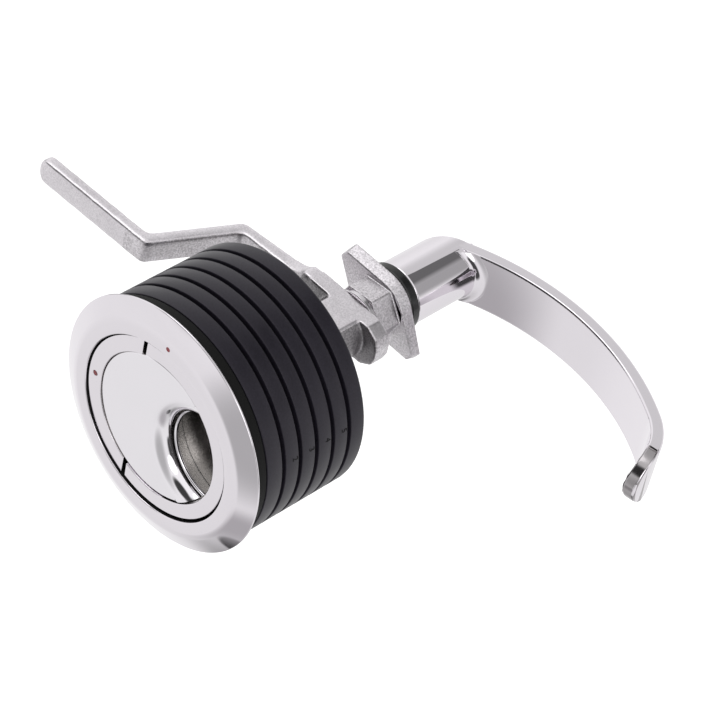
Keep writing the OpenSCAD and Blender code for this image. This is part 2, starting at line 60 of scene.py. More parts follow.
def low(node):
    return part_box(node)[0]


def high(node):
    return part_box(node)[1]


face_y = low("bezel").y
flange_r = high("bezel").x
flange_edge = 0.6 * MM
land_w = 5.2 * MM
bore_r = high("rotor").x + 0.5 * MM
barrel_r = bore_r + 4.0 * MM
neck_end = high("bezel").y
floor_y = high("rotor").y - 12.0 * MM + 0.9 * MM
floor_back = floor_y + 3.0 * MM
neck_r = 16.0 * MM
sleeve_r = high("spacer_sleeve").x
sleeve_y = low("spacer_sleeve").y
sleeve_end = high("spacer_sleeve").y
gasket_r = high("bezel_gasket").x
gasket_back = high("bezel_gasket").y
dish_r = high("finger_dish").z
dish_y = low("finger_dish").y
dish_t = 0.9 * MM
ring_y = low("pull_ring").y
scoop_x = 20.6 * MM
scoop_r = 17.3 * MM
lip_r = 6.0 * MM
groove_start = 7.1 * MM
groove_pitch = 7.1 * MM
groove_w = 1.6 * MM
groove_depth = 2.6 * MM
groove_count = 5
hex_r = 19.4 / 2 / math.cos(math.radians(30)) * MM
wing_y = high("wing_nut").y - 4.4 * MM
wing_line = math.radians(149)
wing_draft = 0.87


# Modelling by hand: select, draw, turn, soften

def deselect_all():
    if bpy.context.object and bpy.context.object.mode != "OBJECT":
        bpy.ops.object.mode_set(mode="OBJECT")
    bpy.ops.object.select_all(action="DESELECT")


def take(piece):
    """Makes one piece the only selected one."""
    deselect_all()
    bpy.context.view_layer.objects.active = piece
    piece.select_set(True)


def edit(piece):
    take(piece)
    bpy.ops.object.mode_set(mode="EDIT")


def leave_edit():
    bpy.ops.object.mode_set(mode="OBJECT")


def apply_modifier(piece, kind, **settings):
    take(piece)
    modifier = piece.modifiers.new(kind.title(), kind)
    for key, value in settings.items():
        setattr(modifier, key, value)
    bpy.ops.object.modifier_apply(modifier=modifier.name)


def select_vertices(piece, wanted):
    """Selects, in edit mode, the vertices that a test of their place accepts."""
    bpy.ops.mesh.select_mode(type="VERT")
    bpy.ops.mesh.select_all(action="DESELECT")
    mesh = bmesh.from_edit_mesh(piece.data)
    for vertex in mesh.verts:
        vertex.select = bool(wanted(vertex.co))
    mesh.select_flush_mode()
    bmesh.update_edit_mesh(piece.data)


class Outline:
    """Outline drawn vertex by vertex in the plane z = 0, ready to be turned or extruded."""

    def __init__(self, name, x, y):
        deselect_all()
        bpy.ops.mesh.primitive_plane_add(size=MM, location=(0, 0, 0))
        self.piece = bpy.context.object
        self.piece.name = self.piece.data.name = name
        bpy.ops.object.mode_set(mode="EDIT")
        bpy.ops.mesh.select_mode(type="VERT")
        bpy.ops.mesh.select_all(action="SELECT")
        bpy.ops.mesh.merge(type="CENTER")
        bpy.ops.transform.translate(value=(x, y, 0))
        self.pen = Vector((x, y, 0))

    def line(self, x, y):
        bpy.ops.mesh.extrude_region_move(TRANSFORM_OT_translate={"value": Vector((x, y, 0)) - self.pen})
        self.pen = Vector((x, y, 0))
        return self

    def arc(self, centre, degrees, steps):
        """Turns the pen about a centre, against the clock for positive degrees."""
        mid = Vector((centre[0], centre[1], 0))
        for _ in range(steps):
            turn = Matrix.Rotation(math.radians(degrees / steps), 3, "Z")
            self.line(*(mid + turn @ (self.pen - mid)).xy)
        return self

    def close(self):
        bpy.ops.mesh.select_all(action="SELECT")
        bpy.ops.mesh.remove_doubles(threshold=OUTLINE_MERGE)
        bpy.ops.mesh.edge_face_add()
        return self

    def round_corners(self, radius, segments, wanted):
        select_vertices(self.piece, wanted)
        bpy.ops.mesh.bevel(offset=radius, segments=segments, affect="VERTICES", offset_type="OFFSET")
        return self

    def turn(self, steps, centre=(0, 0, 0)):
        """Spins the outline full circle about an axis along Y and closes the skin."""
        bpy.ops.mesh.select_all(action="SELECT")
        bpy.ops.mesh.delete(type="ONLY_FACE")
        bpy.ops.mesh.select_all(action="SELECT")
        bpy.ops.mesh.spin(steps=steps, angle=math.radians(360.0), center=centre, axis=(0, 1, 0))
        bpy.ops.mesh.select_all(action="SELECT")
        bpy.ops.mesh.remove_doubles(threshold=OUTLINE_MERGE)
        bpy.ops.mesh.normals_make_consistent(inside=False)
        leave_edit()
        return self.piece


def smooth(piece, degrees=EDGE_DEGREES):
    take(piece)
    bpy.ops.object.shade_smooth_by_angle(angle=math.radians(degrees))
    return piece


def weigh_normals(piece):
    """Smooths a piece with rounded edges so that its large faces stay flat."""
    smooth(piece, FACE_DEGREES)
    apply_modifier(piece, "WEIGHTED_NORMAL", weight=80, keep_sharp=True)


def join_faces(degrees):
    """Merges doubles and joins faces that lie in one plane, in edit mode."""
    bpy.ops.mesh.select_all(action="SELECT")
    bpy.ops.mesh.remove_doubles(threshold=MERGE)
    bpy.ops.mesh.dissolve_limited(angle_limit=math.radians(degrees))


def joined_copy(node, name):
    """Copy of a CAD node's mesh with its triangles joined into faces."""
    deselect_all()
    piece = nodes[node].copy()
    piece.data = nodes[node].data.copy()
    piece.name = piece.data.name = name
    piece.parent = None
    for key in list(piece.keys()):
        del piece[key]
    bpy.context.scene.collection.objects.link(piece)
    edit(piece)
    bpy.ops.mesh.select_all(action="SELECT")
    bpy.ops.mesh.customdata_custom_splitnormals_clear()
    join_faces(0.6)
    leave_edit()
    return piece


def soften(piece, width):
    """Rounds the sharp edges of a piece."""
    apply_modifier(
        piece, "BEVEL", width=width, segments=4, limit_method="ANGLE",
        angle_limit=math.radians(EDGE_DEGREES), use_clamp_overlap=False, harden_normals=False,
    )
    weigh_normals(piece)
    return piece


def place_mesh(piece, turn, at):
    """Turns and moves a piece and puts its place into its mesh."""
    take(piece)
    piece.rotation_euler = turn
    piece.location = at
    bpy.ops.object.transform_apply(location=True, rotation=True, scale=True)


# Shader node groups shared by the finishes

def new_group(name, inputs, outputs):
    group = bpy.data.node_groups.new(name, "ShaderNodeTree")
    for label, kind, value in inputs:
        socket = group.interface.new_socket(name=label, in_out="INPUT", socket_type=kind)
        if value is not None:
            socket.default_value = value
    for label, kind in outputs:
        group.interface.new_socket(name=label, in_out="OUTPUT", socket_type=kind)
    return group, group.nodes.new("NodeGroupInput"), group.nodes.new("NodeGroupOutput")


def polish_group():
    """Faint cloudiness of polished steel: a varying tint and roughness, and a very low waviness."""
    group, given, result = new_group(
        "Polish haze",
        [("Tint", "NodeSocketColor", (0.8, 0.8, 0.8, 1)), ("Shade", "NodeSocketFloat", 0.04),
         ("Roughness", "NodeSocketFloat", 0.08), ("Spread", "NodeSocketFloat", 0.04)],
        [("Color", "NodeSocketColor"), ("Roughness", "NodeSocketFloat"), ("Height", "NodeSocketFloat")],
    )
    place = group.nodes.new("ShaderNodeTexCoord")
    cloud = group.nodes.new("ShaderNodeTexNoise")
    cloud.inputs["Scale"].default_value = 55.0
    cloud.inputs["Detail"].default_value = 5.0
    fine = group.nodes.new("ShaderNodeTexNoise")
    fine.inputs["Scale"].default_value = 900.0
    fine.inputs["Detail"].default_value = 3.0
    group.links.new(place.outputs["Object"], cloud.inputs["Vector"])
    group.links.new(place.outputs["Object"], fine.inputs["Vector"])
    centred = group.nodes.new("ShaderNodeMath")
    centred.operation = "SUBTRACT"
    centred.inputs[1].default_value = 0.5
    group.links.new(cloud.outputs["Fac"], centred.inputs[0])
    shade = group.nodes.new("ShaderNodeMath")
    shade.operation = "MULTIPLY_ADD"
    shade.inputs[2].default_value = 1.0
    group.links.new(centred.outputs[0], shade.inputs[0])
    group.links.new(given.outputs["Shade"], shade.inputs[1])
    tint = group.nodes.new("ShaderNodeVectorMath")
    tint.operation = "SCALE"
    group.links.new(given.outputs["Tint"], tint.inputs[0])
    group.links.new(shade.outputs[0], tint.inputs["Scale"])
    group.links.new(tint.outputs[0], result.inputs["Color"])
    rough = group.nodes.new("ShaderNodeMath")
    rough.operation = "MULTIPLY_ADD"
    group.links.new(fine.outputs["Fac"], rough.inputs[0])
    group.links.new(given.outputs["Spread"], rough.inputs[1])
    group.links.new(given.outputs["Roughness"], rough.inputs[2])
    group.links.new(rough.outputs[0], result.inputs["Roughness"])
    group.links.new(cloud.outputs["Fac"], result.inputs["Height"])
    return group


def grain_group():
    """Grain of a cast, moulded or rubber skin: bumps of one size with finer ones on them."""
    group, given, result = new_group(
        "Skin grain",
        [("Dark", "NodeSocketColor", (0.3, 0.3, 0.3, 1)), ("Light", "NodeSocketColor", (0.6, 0.6, 0.6, 1)),
         ("Scale", "NodeSocketFloat", 900.0), ("Roughness", "NodeSocketFloat", 0.4),
         ("Spread", "NodeSocketFloat", 0.2)],
        [("Color", "NodeSocketColor"), ("Roughness", "NodeSocketFloat"), ("Height", "NodeSocketFloat")],
    )
    place = group.nodes.new("ShaderNodeTexCoord")
    bumps = group.nodes.new("ShaderNodeTexNoise")
    bumps.inputs["Detail"].default_value = 4.0
    bumps.inputs["Roughness"].default_value = 0.65
    broad = group.nodes.new("ShaderNodeTexNoise")
    broad.inputs["Scale"].default_value = 70.0
    broad.inputs["Detail"].default_value = 4.0
    group.links.new(place.outputs["Object"], bumps.inputs["Vector"])
    group.links.new(place.outputs["Object"], broad.inputs["Vector"])
    group.links.new(given.outputs["Scale"], bumps.inputs["Scale"])
    both = group.nodes.new("ShaderNodeMath")
    both.operation = "MULTIPLY_ADD"
    both.inputs[1].default_value = 0.35
    group.links.new(broad.outputs["Fac"], both.inputs[0])
    group.links.new(bumps.outputs["Fac"], both.inputs[2])
    spread = group.nodes.new("ShaderNodeMapRange")
    spread.inputs["From Min"].default_value = 0.45
    spread.inputs["From Max"].default_value = 0.9
    group.links.new(both.outputs[0], spread.inputs["Value"])
    mix = group.nodes.new("ShaderNodeMix")
    mix.data_type = "RGBA"
    group.links.new(spread.outputs[0], mix.inputs["Factor"])
    group.links.new(given.outputs["Dark"], mix.inputs["A"])
    group.links.new(given.outputs["Light"], mix.inputs["B"])
    group.links.new(mix.outputs["Result"], result.inputs["Color"])
    rough = group.nodes.new("ShaderNodeMath")
    rough.operation = "MULTIPLY_ADD"
    group.links.new(broad.outputs["Fac"], rough.inputs[0])
    group.links.new(given.outputs["Spread"], rough.inputs[1])
    group.links.new(given.outputs["Roughness"], rough.inputs[2])
    group.links.new(rough.outputs[0], result.inputs["Roughness"])
    group.links.new(bumps.outputs["Fac"], result.inputs["Height"])
    return group


POLISH = polish_group()
GRAIN = grain_group()


def finish_material(name, group, values, metallic, bump=0.0, bump_mm=0.02, gloss=0.5):
    """Material whose colour, roughness and bump come from one of the shared groups."""
    material = bpy.data.materials.new(name)
    material.use_nodes = True
    tree = material.node_tree
    shader = tree.nodes["Principled BSDF"]
    effect = tree.nodes.new("ShaderNodeGroup")
    effect.node_tree = group
    for key, value in values.items():
        effect.inputs[key].default_value = value
    tree.links.new(effect.outputs["Color"], shader.inputs["Base Color"])
    tree.links.new(effect.outputs["Roughness"], shader.inputs["Roughness"])
    shader.inputs["Metallic"].default_value = metallic
    shader.inputs["Specular IOR Level"].default_value = gloss
    if bump:
        relief = tree.nodes.new("ShaderNodeBump")
        relief.inputs["Strength"].default_value = bump
        relief.inputs["Distance"].default_value = bump_mm * MM
        tree.links.new(effect.outputs["Height"], relief.inputs["Height"])
        tree.links.new(relief.outputs["Normal"], shader.inputs["Normal"])
    return material


polished = finish_material(
    "polished stainless", POLISH,
    {"Tint": (0.80, 0.765, 0.805, 1), "Shade": 0.03, "Roughness": 0.04, "Spread": 0.03}, 1.0)
# Painted shade: a darker copy of the polished steel for the rim of the lever's curled tip.
painted_shade_steel = finish_material(
    "stainless with painted shade", POLISH,
    {"Tint": (0.40, 0.38, 0.39, 1), "Shade": 0.30, "Roughness": 0.10, "Spread": 0.08}, 1.0)
pressed = finish_material(
    "pressed stainless", POLISH,
    {"Tint": (0.85, 0.825, 0.86, 1), "Shade": 0.04, "Roughness": 0.06, "Spread": 0.04}, 1.0)
turned_steel = finish_material(
    "turned bright steel", POLISH,
    {"Tint": (0.70, 0.675, 0.70, 1), "Shade": 0.10, "Roughness": 0.16, "Spread": 0.12}, 1.0)
# Painted light: a lighter grain for the arm's top and outer front, where light falls, with a finer bump than
# the blasted casting.
painted_light_cast = finish_material(
    "casting with painted light", GRAIN,
    {"Dark": (0.56, 0.535, 0.56, 1), "Light": (0.86, 0.825, 0.86, 1), "Scale": 1700.0,
     "Roughness": 0.26, "Spread": 0.10}, 1.0, bump=0.40, bump_mm=0.08)
rough_cast = finish_material(
    "blasted casting", GRAIN,
    {"Dark": (0.34, 0.325, 0.34, 1), "Light": (0.86, 0.825, 0.86, 1), "Scale": 1500.0,
     "Roughness": 0.24, "Spread": 0.10}, 1.0, bump=0.75, bump_mm=0.17)
# Painted shade: a darker copy of the blasted casting for the arm's eye front and the faces under it.
shaded_cast = finish_material(
    "casting with painted shade", GRAIN,
    {"Dark": (0.12, 0.115, 0.12, 1), "Light": (0.46, 0.44, 0.46, 1), "Scale": 1500.0,
     "Roughness": 0.26, "Spread": 0.10}, 1.0, bump=0.75, bump_mm=0.17)
machined = finish_material(
    "machined pit floor", POLISH,
    {"Tint": (0.76, 0.735, 0.72, 1), "Shade": 0.16, "Roughness": 0.18, "Spread": 0.12}, 1.0)
# Painted shade: darker copies of the machined steel for the pit walls and the ring's sides, deepest where
# the lip mirrors them.
painted_shade_machined = finish_material(
    "machined steel with painted shade", POLISH,
    {"Tint": (0.42, 0.405, 0.395, 1), "Shade": 0.16, "Roughness": 0.20, "Spread": 0.14}, 1.0)
painted_deep_shade_machined = finish_material(
    "machined steel with painted deep shade", POLISH,
    {"Tint": (0.10, 0.097, 0.095, 1), "Shade": 0.16, "Roughness": 0.22, "Spread": 0.14}, 1.0)
# Painted shade: near black for the gap between the bezel's bore and the rotor.
painted_gap_shade = finish_material(
    "bore with painted shade", GRAIN,
    {"Dark": (0.004, 0.004, 0.004, 1), "Light": (0.010, 0.010, 0.010, 1), "Scale": 1500.0,
     "Roughness": 0.5, "Spread": 0.1}, 0.0, bump=0.1, bump_mm=0.02, gloss=0.2)
blackened = finish_material(
    "blackened steel", GRAIN,
    {"Dark": (0.010, 0.010, 0.011, 1), "Light": (0.022, 0.021, 0.023, 1), "Scale": 1100.0,
     "Roughness": 0.34, "Spread": 0.16}, 0.0, bump=0.10, bump_mm=0.02, gloss=0.4)
moulded = finish_material(
    "moulded black plastic", GRAIN,
    {"Dark": (0.009, 0.008, 0.012, 1), "Light": (0.018, 0.016, 0.024, 1), "Scale": 1500.0,
     "Roughness": 0.30, "Spread": 0.14}, 0.0, bump=0.16, bump_mm=0.03, gloss=0.36)
moulded.node_tree.nodes["Principled BSDF"].inputs["Specular Tint"].default_value = (0.95, 0.90, 1.0, 1)
soft_rubber = finish_material(
    "soft black rubber", GRAIN,
    {"Dark": (0.003, 0.003, 0.003, 1), "Light": (0.008, 0.008, 0.008, 1), "Scale": 1800.0,
     "Roughness": 0.5, "Spread": 0.2}, 0.0, bump=0.2, bump_mm=0.03, gloss=0.15)
shiny_rubber = finish_material(
    "shiny black rubber", GRAIN,
    {"Dark": (0.006, 0.006, 0.006, 1), "Light": (0.014, 0.014, 0.015, 1), "Scale": 1200.0,
     "Roughness": 0.16, "Spread": 0.1}, 0.0, bump=0.08, bump_mm=0.03)
bronze = finish_material(
    "sintered bronze", GRAIN,
    {"Dark": (0.36, 0.22, 0.10, 1), "Light": (0.56, 0.38, 0.20, 1), "Scale": 1400.0,
     "Roughness": 0.3, "Spread": 0.15}, 1.0, bump=0.2, bump_mm=0.03)
enamel = finish_material(
    "dark red enamel", GRAIN,
    {"Dark": (0.13, 0.006, 0.012, 1), "Light": (0.22, 0.010, 0.018, 1), "Scale": 800.0,
     "Roughness": 0.2, "Spread": 0.1}, 0.0, bump=0.05, bump_mm=0.02)


def dress(piece, material):
    piece.data.materials.clear()
    piece.data.materials.append(material)


def dress_faces(piece, material, wanted):
    """Gives the faces that a test of their middle and normal accepts a finish of their own."""
    piece.data.materials.append(material)
    edit(piece)
    bpy.ops.mesh.select_mode(type="FACE")
    bpy.ops.mesh.select_all(action="DESELECT")
    mesh = bmesh.from_edit_mesh(piece.data)
    for face in mesh.faces:
        face.select = bool(wanted(face.calc_center_median(), face.normal))
    bmesh.update_edit_mesh(piece.data)
    piece.active_material_index = len(piece.data.materials) - 1
    bpy.ops.object.material_slot_assign()
    leave_edit()


def fit(piece, node, material, body):
    """Gives a finished piece its material, and lets it stand for a CAD node."""
    dress(piece, material)
    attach(piece, body)
    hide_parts(node)
    return piece


# Bezel, gasket and sleeve

def bezel_turning():
    crease_x = bore_r + land_w
    bush_y = high("front_bush").y - 8.0 * MM
    bush_r = 11.9 * MM
    spindle_hole_r = 8.55 * MM
    outline = Outline("bezel_turning", bore_r, face_y).line(crease_x, face_y).line(flange_r, -flange_edge)
    outline.line(flange_r, 0).line(barrel_r, 0).line(barrel_r, floor_back).line(neck_r, floor_back)
    outline.line(neck_r, neck_end).line(spindle_hole_r, neck_end).line(spindle_hole_r, bush_y)
    outline.line(bush_r, bush_y).line(bush_r, floor_y).line(bore_r, floor_y).close()
    outline.round_corners(1.3 * MM, 12, lambda p: abs(p.x - crease_x) < TOUCH and p.y < 0)
    outline.round_corners(0.27 * MM, 5, lambda p: abs(p.x - flange_r) < TOUCH)
    outline.round_corners(0.40 * MM, 5, lambda p: abs(p.x - bore_r) < TOUCH and p.y < 0)
    return smooth(outline.turn(256))


def sleeve_turning():
    inner = barrel_r + 0.05 * MM
    outline = Outline("sleeve_turning", inner, sleeve_y).line(sleeve_r, sleeve_y)
    for i in range(groove_count):
        middle = sleeve_y + groove_start + groove_pitch * i
        outline.line(sleeve_r, middle - groove_w / 2).line(sleeve_r - groove_depth, middle - groove_w / 2)
        outline.line(sleeve_r - groove_depth, middle + groove_w / 2).line(sleeve_r, middle + groove_w / 2)
    outline.line(sleeve_r, sleeve_end).line(inner, sleeve_end).close()
    outer = sleeve_r - TOUCH
    outline.round_corners(1.1 * MM, 6, lambda p: p.x > outer and p.y > sleeve_end - TOUCH)
    outline.round_corners(0.22 * MM, 3, lambda p: p.x > outer and p.y < sleeve_end - 1.5 * MM)
    return smooth(outline.turn(256))


def gasket_turning():
    inner = barrel_r + 0.05 * MM
    outline = Outline("gasket_turning", inner, 0.05 * MM).line(gasket_r, 0.05 * MM)
    outline.line(gasket_r, gasket_back).line(inner, gasket_back).close()
    outline.round_corners(0.5 * MM, 4, lambda p: p.x > gasket_r - TOUCH)
    return smooth(outline.turn(256))


def front_bore(at, normal):
    """Bore of the bezel round the rotor, without its rounded front edge; it gets painted shade for the gap
    round the rotor.
    """
    return math.hypot(at.x, at.z) < bore_r + 0.05 * MM and face_y + 0.45 * MM < at.y < floor_y + 0.1 * MM


def bezel_dot_button():
    deselect_all()
    bpy.ops.mesh.primitive_cylinder_add(vertices=48, radius=0.9 * MM, depth=0.5 * MM)
    button = bpy.context.object
    button.name = button.data.name = "bezel_dot_button"
    place_mesh(button, (math.pi / 2, 0, 0), (0, face_y + 0.21 * MM, bore_r + 3.3 * MM))
    return soften(button, 0.12 * MM)


bezel = fit(bezel_turning(), "bezel", polished, "housing")
dress_faces(bezel, painted_gap_shade, front_bore)
fit(bezel_dot_button(), "bezel_dot", enamel, "housing")
fit(sleeve_turning(), "spacer_sleeve", moulded, "housing")
fit(gasket_turning(), "bezel_gasket", soft_rubber, "housing")


# Finger dish with its rolled lip

def dish_pressing():
    """Sheet turned about the scoop, its edge rolled down to a bead, then cut to the dish's round."""
    flat_r = scoop_r + lip_r
    reach = scoop_x + dish_r + 2 * MM
    roll_y = dish_y + lip_r
    bead = (scoop_x - scoop_r - 0.25 * MM, roll_y - 0.1 * MM)
    outline = Outline("dish_pressing", scoop_x - reach, dish_y).line(scoop_x - flat_r, dish_y)
    outline.arc((scoop_x - flat_r, roll_y), 81.6, 28)
    outline.arc(bead, 226, 24)
    outline.line(scoop_x - scoop_r - dish_t, roll_y)
    outline.arc((scoop_x - flat_r, roll_y), -90, 20)
    outline.line(scoop_x - reach, dish_y + dish_t).close()
    piece = outline.turn(360, (scoop_x, 0, 0))
    deselect_all()
    bpy.ops.mesh.primitive_cylinder_add(
        vertices=256, radius=dish_r, depth=40 * MM, rotation=(math.pi / 2, 0, 0))
    rim = bpy.context.object
    apply_modifier(piece, "BOOLEAN", operation="INTERSECT", solver="EXACT", object=rim)
    bpy.data.objects.remove(rim)
    edit(piece)
    join_faces(0.2)
    leave_edit()
    edit(piece)
    select_vertices(piece, lambda p: p.y < dish_y + TOUCH and math.hypot(p.x, p.z) > dish_r - 0.03 * MM)
    bpy.ops.mesh.bevel(offset=0.7 * MM, segments=6, affect="EDGES", clamp_overlap=False)
    leave_edit()
    weigh_normals(piece)
    return piece


fit(dish_pressing(), "finger_dish", pressed, "rotor_group")


# Pieces whose CAD shape is right: their edges are rounded

for node, width, material, slot, body in (
    ("pull_ring", 0.40, polished, "polished_steel", "pull_ring"),
    ("rear_plate", 0.30, blackened, "blackened_steel", "housing"),
    ("rear_plate_screws", 0.20, turned_steel, "bright_steel", "housing"),
    ("spindle", 0.25, turned_steel, "bright_steel", "rotor_group"),
    ("circlip", 0.12, turned_steel, "bright_steel", "rotor_group"),
    ("arm_washer", 0.25, turned_steel, "bright_steel", "rotor_group"),
    ("buffer_ring", 0.10, shiny_rubber, "buffer_rubber", "rotor_group"),
    ("lever_handle", 0.90, polished, "polished_steel", "rotor_group"),
    ("handle_grub_screw", 0.15, turned_steel, "bright_steel", "rotor_group"),
):
    fit(soften(joined_copy(node, node + "_finished"), width * MM), node, material, body)


def rotor_casting():
    """Rotor with polished outer faces and a machined finger pit whose walls carry painted shade, deepest on
    the sides facing -X, which the lip mirrors.
    """
    piece = soften(joined_copy("rotor", "rotor_finished"), 0.25 * MM)
    pit_y = ring_y + 1.0 * MM
    fit(piece, "rotor", polished, "rotor_group")
    dress_faces(piece, painted_shade_machined, lambda at, normal: at.y > pit_y)
    dress_faces(piece, painted_deep_shade_machined, lambda at, normal: at.y > pit_y and normal.x < -0.3)
    dress_faces(piece, machined, lambda at, normal: at.y > pit_y and normal.y < -0.8)


def painted_light_faces(at, normal):
    """The arm's top, and the front of its outer length: painted light, a lighter grain as on lit faces, with
    a finer bump than the blasted sides.
    """
    return normal.z > 0.8 or at.x < -72 * MM


def flush_boss(piece, boss_y, eye_y, plate_half):
    """Brings the boss's flats level with the eye plate, and joins them to it without a seam."""
    flat = plate_half - 0.1 * MM
    back_y = eye_y + 1.5 * MM

    def on_flat(p):
        return abs(abs(p.z) - flat) < 0.02 * MM and p.y < back_y and abs(p.x) < 9 * MM

    edit(piece)
    select_vertices(piece, on_flat)
    bpy.ops.transform.resize(value=(1, 1, plate_half / flat), center_override=(0, 0, 0))
    leave_edit()
    corner = max(abs(v.co.x) for v in piece.data.vertices
                 if abs(v.co.z) > plate_half - TOUCH and v.co.y < eye_y - 1.0 * MM)
    deselect_all()
    bpy.ops.mesh.primitive_cube_add(size=1.0, location=(0, (boss_y + back_y) / 2, 0))
    block = bpy.context.object
    block.scale = (2 * corner, back_y - boss_y, 2 * plate_half)
    bore = bpy.data.objects.new("bore", nodes["spindle"].data.copy())
    bpy.context.scene.collection.objects.link(bore)
    apply_modifier(block, "BOOLEAN", operation="DIFFERENCE", solver="EXACT", object=bore)
    apply_modifier(piece, "BOOLEAN", operation="UNION", solver="EXACT", object=block)
    bpy.data.objects.remove(block)
    bpy.data.objects.remove(bore)
    edit(piece)
    join_faces(0.6)
    bpy.ops.mesh.normals_make_consistent(inside=False)
    leave_edit()


def arm_casting():
    """Arm with a long flare, rounded bends, soft cast edges and blasted sides; its top and outer front carry
    painted light in a finer grain, its eye front and under faces painted shade.
    """
    piece = joined_copy("draw_arm", "draw_arm_finished")
    bar_half = 5.1 * MM
    plate_half = high("draw_arm").z
    flare_x = -20.5 * MM
    flare_end = 7.695 * MM
    eye_y = high("draw_arm").y - 6.3 * MM
    boss_y = eye_y - 16.7 * MM

    def on_flare(p):
        return -26.5 * MM < p.x < flare_x - 0.3 * MM and abs(p.z) > bar_half - 0.02 * MM

    def at_bend(a, b):
        upright = (a - b).xy.length < TOUCH and (a - b).length > 5 * MM
        return upright and -75 * MM < a.x < -40 * MM

    # Faces that get painted shade: the eye's front and the faces under it.
    def in_shade(at, normal):
        return at.x > flare_x and (normal.y < -0.8 or (at.y < eye_y and normal.z < 0.7))

    flush_boss(piece, boss_y, eye_y, plate_half)
    edit(piece)
    select_vertices(piece, lambda p: abs(p.x - flare_x) < 0.1 * MM and abs(abs(p.z) - flare_end) < 0.1 * MM)
    bpy.ops.transform.resize(value=(1, 1, plate_half / flare_end), center_override=(0, 0, 0))
    select_vertices(piece, lambda p: abs(p.x - flare_x) < 0.2 * MM and abs(p.z) > plate_half - 0.2 * MM)
    bpy.ops.mesh.remove_doubles(threshold=0.2 * MM)
    select_vertices(piece, on_flare)
    bpy.ops.transform.resize(value=(1.7, 1, 1), center_override=(flare_x, 0, 0))
    bpy.ops.mesh.select_mode(type="EDGE")
    bpy.ops.mesh.select_all(action="DESELECT")
    mesh = bmesh.from_edit_mesh(piece.data)
    for edge in mesh.edges:
        edge.select = at_bend(*(vertex.co for vertex in edge.verts))
    bmesh.update_edit_mesh(piece.data)
    bpy.ops.mesh.bevel(offset=1.6 * MM, segments=5, affect="EDGES", clamp_overlap=False)
    leave_edit()
    apply_modifier(piece, "REMESH", mode="VOXEL", voxel_size=0.4 * MM)
    apply_modifier(piece, "SMOOTH", factor=0.5, iterations=12)
    edit(piece)
    select_vertices(piece, lambda p: p.x < flare_x + 4.0 * MM)
    bpy.ops.object.vertex_group_add()
    bpy.ops.object.vertex_group_assign()
    leave_edit()
    bar = piece.vertex_groups[-1].name
    apply_modifier(piece, "SMOOTH", factor=0.5, iterations=70, vertex_group=bar)
    piece.vertex_groups.clear()
    smooth(piece, 60.0)
    fit(piece, "draw_arm", rough_cast, "rotor_group")
    dress_faces(piece, painted_light_cast, painted_light_faces)
    dress_faces(piece, shaded_cast, in_shade)


def nut_casting():
    """Nut whose wings are drafted: their front outline is narrower than their back."""
    piece = joined_copy("wing_nut", "wing_nut_finished")
    outside_hex = hex_r + 0.05 * MM
    place_mesh(piece, (0, wing_line, 0), (0, 0, 0))
    edit(piece)
    select_vertices(piece, lambda p: abs(p.y - wing_y) < 0.02 * MM and math.hypot(p.x, p.z) > outside_hex)
    bpy.ops.transform.resize(value=(1, 1, wing_draft), center_override=(0, wing_y, 0))
    leave_edit()
    place_mesh(piece, (0, -wing_line, 0), (0, 0, 0))
    soften(piece, 0.5 * MM)
    fit(piece, "wing_nut", rough_cast, "rotor_group")


def ring_sides():
    """Painted shade on the sides of the pull ring: on the outer one at the seam to the bezel, and deeper on
    the side mirrored in the lip.
    """
    middle_r = (dish_r + bore_r) / 2
    ring = bpy.data.objects["pull_ring_finished"]

    def outer_side(at, normal):
        return abs(normal.y) < 0.3 and math.hypot(at.x, at.z) > middle_r

    def mirrored_side(at, normal):
        return abs(normal.y) < 0.3 and normal.x < -0.3 and math.hypot(at.x, at.z) < middle_r

    dress_faces(ring, painted_shade_machined, outer_side)
    dress_faces(ring, painted_deep_shade_machined, mirrored_side)


def lever_tip():
    """Painted shade on the rim of the lever's curled tip: a darker copy of the polished finish."""
    dress_faces(bpy.data.objects["lever_handle_finished"], painted_shade_steel,
                lambda at, normal: at.x > 103.5 * MM and at.y < 117 * MM and normal.x < 0.35)


ring_sides()
lever_tip()
rotor_casting()
arm_casting()
nut_casting()

for node, material in (
    ("rotor_dot", enamel), ("front_bush", bronze), ("rear_bush", bronze),
    ("thrust_washer", bronze), ("rear_thrust_washer", bronze), ("rotor_seal", soft_rubber),
    ("spindle_seal", soft_rubber), ("pull_ring_pins", turned_steel), ("stop_pin", turned_steel),
    ("spindle_cross_pin", turned_steel),
):
    dress(nodes[node], material)


# Plain numerals on the sleeve's lands, to tell the cutting grooves apart

def sleeve_numeral(digit, groove):
    deselect_all()
    bpy.ops.object.text_add(location=(0, 0, 0))
    mark = bpy.context.object
    mark.data.body = digit
    mark.data.size = 3.2 * MM
    mark.data.extrude = 0.08 * MM
    mark.data.align_x = "CENTER"
    mark.data.align_y = "CENTER"
    bpy.ops.object.convert(target="MESH")
    mark.name = mark.data.name = "sleeve_numeral_" + digit
    edit(mark)
    bpy.ops.mesh.select_all(action="SELECT")
    bpy.ops.mesh.remove_doubles(threshold=OUTLINE_MERGE)
    leave_edit()
    around = math.radians(14.2)
    station = sleeve_y + groove_start + groove_pitch * groove - 2.4 * MM
    place_mesh(mark, (0, math.pi / 2 - around, 0),
               (sleeve_r * math.cos(around), station, sleeve_r * math.sin(around)))
    dress(mark, soft_rubber)
    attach(mark, "housing")


for groove, digit in ((1, "2"), (2, "3"), (3, "4"), (4, "5")):
    sleeve_numeral(digit, groove)


# Fillet where the lever's blade leaves its shank

